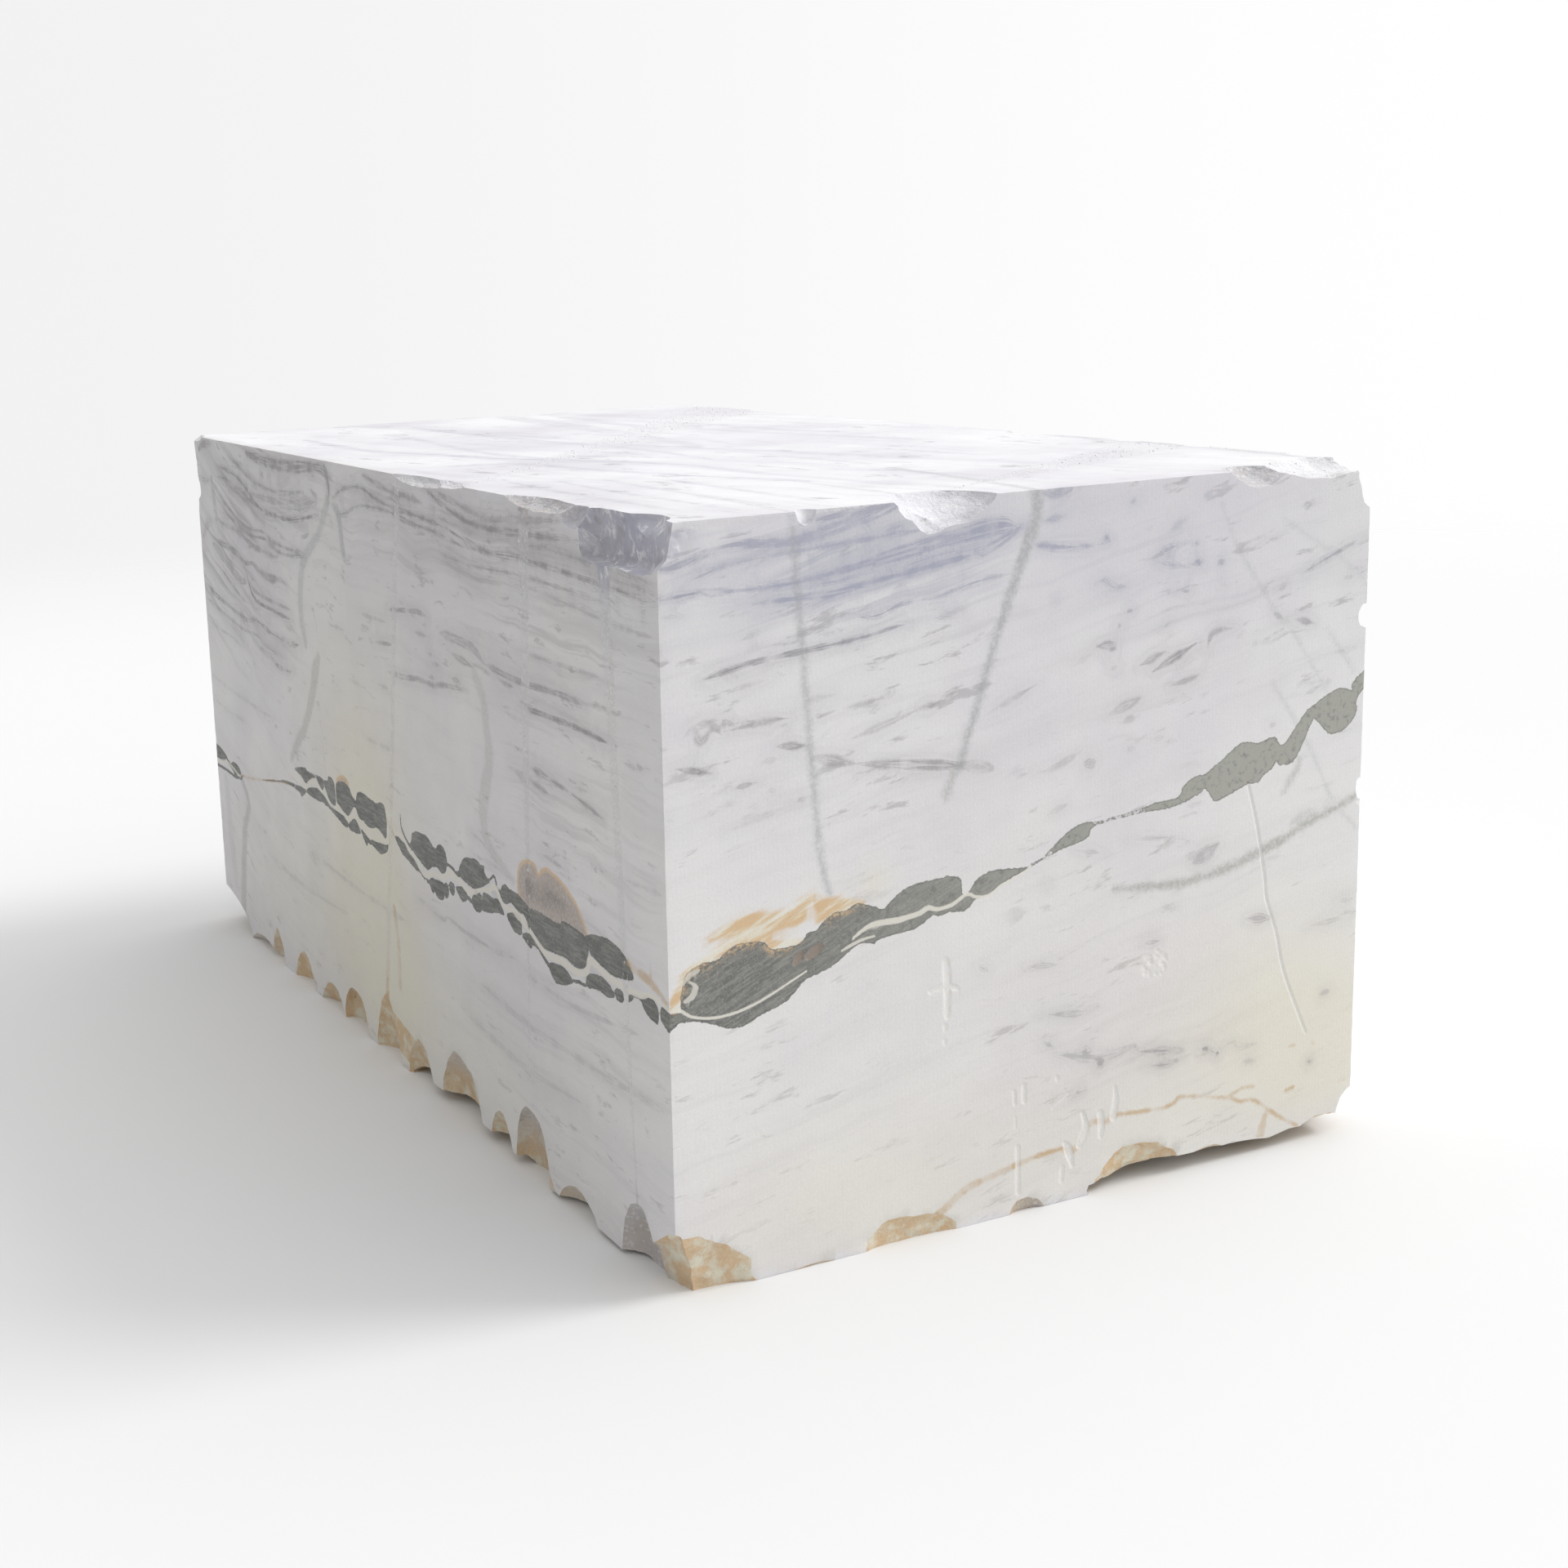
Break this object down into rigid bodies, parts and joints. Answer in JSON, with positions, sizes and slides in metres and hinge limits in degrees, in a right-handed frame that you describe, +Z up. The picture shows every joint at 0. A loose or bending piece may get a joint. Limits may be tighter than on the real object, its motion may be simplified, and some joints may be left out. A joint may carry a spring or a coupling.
{
  "type": "stone block",
  "caption": "Rectangular wire-sawn quarry block of veined white marble with chipped and spalled edges, lying on its broad side.",
  "frame": {"origin": "centre of the bounding box, on the ground", "axes": "+Z up, +Y along the length towards the back wall, +X across the width towards the right wall"},
  "size_m": [1.3514, 2.6432, 1.2],
  "materials": {
    "marble": "wire-sawn white marble with grey streaks, one dark vein and rust-stained broken edges"
  },
  "bodies": {
    "root": {"marble_block": "marble"}
  },
  "joints": []
}
